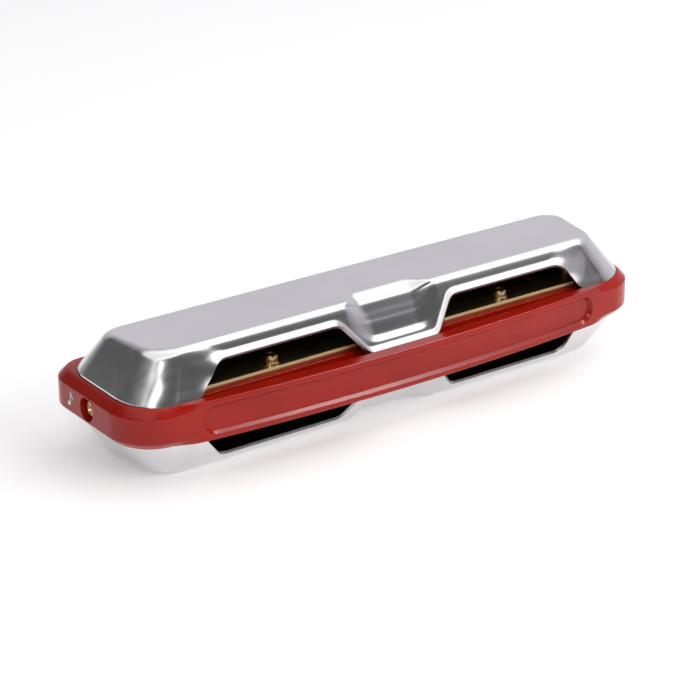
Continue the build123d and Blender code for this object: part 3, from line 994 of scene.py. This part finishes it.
def burnished_edge(material):
    """A plate's edge at the back: bright and matt along its upper part, as the shears leave it."""
    tree = material.node_tree
    geometry = tree.nodes.new("ShaderNodeNewGeometry")
    facing = tree.nodes.new("ShaderNodeSeparateXYZ")
    tree.links.new(geometry.outputs["True Normal"], facing.inputs["Vector"])
    place = tree.nodes.new("ShaderNodeTexCoord")
    position = tree.nodes.new("ShaderNodeSeparateXYZ")
    tree.links.new(place.outputs["Object"], position.inputs["Vector"])
    backward = tree.nodes.new("ShaderNodeMath")
    backward.operation = "LESS_THAN"
    backward.inputs[1].default_value = FACES_BACK
    tree.links.new(facing.outputs["Y"], backward.inputs[0])
    height = tree.nodes.new("ShaderNodeMapRange")
    height.inputs["From Min"].default_value = BURNISH_LOW * MM
    height.inputs["From Max"].default_value = (BURNISH_LOW + BURNISH_FADE) * MM
    tree.links.new(position.outputs["Z"], height.inputs["Value"])
    band = tree.nodes.new("ShaderNodeMath")
    band.operation = "MULTIPLY"
    tree.links.new(backward.outputs["Value"], band.inputs[0])
    tree.links.new(height.outputs["Result"], band.inputs[1])
    metal = tree.nodes.new("ShaderNodeMapRange")
    metal.inputs["To Min"].default_value = 1.0
    metal.inputs["To Max"].default_value = BURNISH_METAL
    tree.links.new(band.outputs["Value"], metal.inputs["Value"])
    tree.links.new(metal.outputs["Result"], tree.nodes["Principled BSDF"].inputs["Metallic"])
    return material


def floor_material():
    """A pale studio floor with a little glow of its own."""
    material, tree, shader = node_material("pale_floor")
    cloud = noise(tree, 6)
    vary(tree, shader["Base Color"], cloud, 0.93, 0.95)
    shader["Roughness"].default_value = 0.7
    shader["Specular IOR Level"].default_value = 0.2
    shader["Emission Color"].default_value = (1, 1, 1, 1)
    shader["Emission Strength"].default_value = FLOOR_GLOW
    return material


STEEL = steel_material()
SHADED_INNER_STEEL = shaded_inner_steel_material()
CUT_STEEL = cut_steel_material()
INK = print_material()
RED = comb_material()
PLATE_BRASS = brass_material("plate_brass", (0.86, 0.64, 0.32), (0.95, 0.76, 0.42), 0.36, (0.2, 1, 1))
burnished_edge(PLATE_BRASS)
REED_BRASS = brass_material("reed_brass", (0.78, 0.60, 0.30), (0.88, 0.71, 0.40), 0.25, (1, 0.15, 1))
SCREW_BRASS = brass_material("screw_brass", (0.66, 0.49, 0.24), (0.80, 0.62, 0.34), 0.28)
RIVET_BRASS = brass_material("rivet_brass", (0.70, 0.52, 0.26), (0.82, 0.64, 0.36), 0.33)

# ---------------- pieces


def add(piece, slot, *nodes):
    """A rigid piece of the body root, which stands for some CAD nodes."""
    if nodes:
        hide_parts(*nodes)
    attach(piece, "root")


# The lower cover's tabs lie against the inside of the upper cover's, under the same screws
for node, up, outer_x, top in (("top_cover", 1, TAB_OUTER_X, UPRIGHT),
                               ("bottom_cover", -1, TAB_OUTER_X - SHEET, UPRIGHT + SHEET)):
    add(cover(node + "_sheet", up, STEEL, SHADED_INNER_STEEL, CUT_STEEL), "cover", node)
    add(tabs(node + "_tabs", up, outer_x, top, STEEL), "cover")

comb_moulding = comb("comb_moulding", RED)
add(comb_moulding, "comb", "comb")
add(key_mark("key_mark", INK), "comb")

for kind in ("blow", "draw"):
    add(rivets(kind, RIVET_BRASS), "rivet", f"{kind}_reed_rivets")
    for hole in range(1, HOLES + 1):
        strip = reed(kind, hole, REED_BRASS)
        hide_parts(f"{kind}_reed_{hole}", *([f"{kind}_reed_heels"] if hole == 1 else []))
        low, high = reed_box(kind, hole)
        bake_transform(strip)

add(plate_screws(SCREW_BRASS), "screw", "reed_plate_screws")
for side, node in ((1, "hole_1_end_screw"), (-1, "hole_10_end_screw")):
    add(end_screw(node + "_turned", side, SCREW_BRASS), "screw", node)

for node in ("blow_reed_plate", "draw_reed_plate"):
    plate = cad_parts[node]
    plate.data.materials.clear()
    plate.data.materials.append(PLATE_BRASS)

# ---------------- stage, lights and camera

scene = bpy.context.scene
scene.view_settings.view_transform = "Standard"

FLOOR_HALF = 3000
floor_z = cad_box[0].z / MM
floor_corners = [(x * FLOOR_HALF, y * FLOOR_HALF, floor_z) for x, y in ((-1, -1), (1, -1), (1, 1), (-1, 1))]
floor = mesh_object("studio_floor", floor_corners, [(0, 1, 2, 3)], floor_material())


def area_light(name, place, target, size, power):
    """A soft rectangular light that faces its target. Lengths are metres, the power is watts."""
    data = bpy.data.lights.new(name, "AREA")
    data.shape = "RECTANGLE"
    data.size, data.size_y = size
    data.energy = power
    light = bpy.data.objects.new(name, data)
    scene.collection.objects.link(light)
    light.location = place
    light.rotation_euler = (Vector(target) - Vector(place)).to_track_quat("-Z", "Y").to_euler()
    return light


area_light("overhead_softbox", (0.12, 0.075, 0.62), (0.12, 0.075, 0), (1.3, 0.55), 2.1)
area_light("overhead_strip", (0.12, -0.255, 0.62), (0.12, -0.255, 0), (1.3, 0.11), 0.75)
back_fill = area_light("back_fill", (0.45, -0.65, 0.42), (0, 0, 0), (0.9, 0.45), 5.2)
rail_glint = area_light("rail_glint", (0.393, -0.10, 0.62), (0, 0, 0), (0.5, 0.14), 3.2)
area_light("corner_strip", (-0.42, -0.56, 0.52), (0, 0, 0), (0.05, 0.3), 0.85)

# The fill isn't reflected, and the glint is nothing but a reflection, in the plastic only
back_fill.visible_glossy = False
rail_glint.visible_diffuse = False
plastic_only = bpy.data.collections.new("plastic_only")
plastic_only.objects.link(comb_moulding)
rail_glint.light_linking.receiver_collection = plastic_only

# A studio that is bright on one side, which the covers reflect
BRIGHT_SIDE = (0.82, 0.57, 0.0)
world = bpy.data.worlds.new("studio")
scene.world = world
world.use_nodes = True
studio = world.node_tree
direction = studio.nodes.new("ShaderNodeTexCoord")
toward = studio.nodes.new("ShaderNodeVectorMath")
toward.operation = "DOT_PRODUCT"
toward.inputs[1].default_value = BRIGHT_SIDE
studio.links.new(direction.outputs["Generated"], toward.inputs[0])
shade = ramp(studio, toward.outputs["Value"], 0.10, (0.68, 0.66, 0.71), ends=(0.0, 0.8))
studio.links.new(shade, studio.nodes["Background"].inputs["Color"])

# The camera looks at a point near the middle of the back, from behind hole 10. Angles are
# degrees, and lengths are millimetres.
AZIMUTH = -35.387
ELEVATION = 23.240
ROLL = -0.434
DISTANCE = 402.278
AIM_RIGHT = -1.900
AIM_UP = -2.291
AIM = Vector((0, 0.35, 0))

camera_data = bpy.data.cameras.new("camera")
camera_data.lens = 120.93
camera_data.sensor_width = 36
camera_data.clip_start = 0.01
camera = bpy.data.objects.new("camera", camera_data)
scene.collection.objects.link(camera)
azimuth, elevation, roll = (math.radians(angle) for angle in (AZIMUTH, ELEVATION, ROLL))
back = Vector((math.sin(azimuth) * math.cos(elevation), -math.cos(azimuth) * math.cos(elevation),
               math.sin(elevation)))
level_right = Vector((math.cos(azimuth), math.sin(azimuth), 0))
level_up = back.cross(level_right)
right = level_right * math.cos(roll) + level_up * math.sin(roll)
up = back.cross(right)
aim = (right * AIM_RIGHT + up * AIM_UP + AIM) * MM
camera.matrix_world = Matrix((right, up, back)).transposed().to_4x4()
camera.location = aim + back * DISTANCE * MM
scene.camera = camera
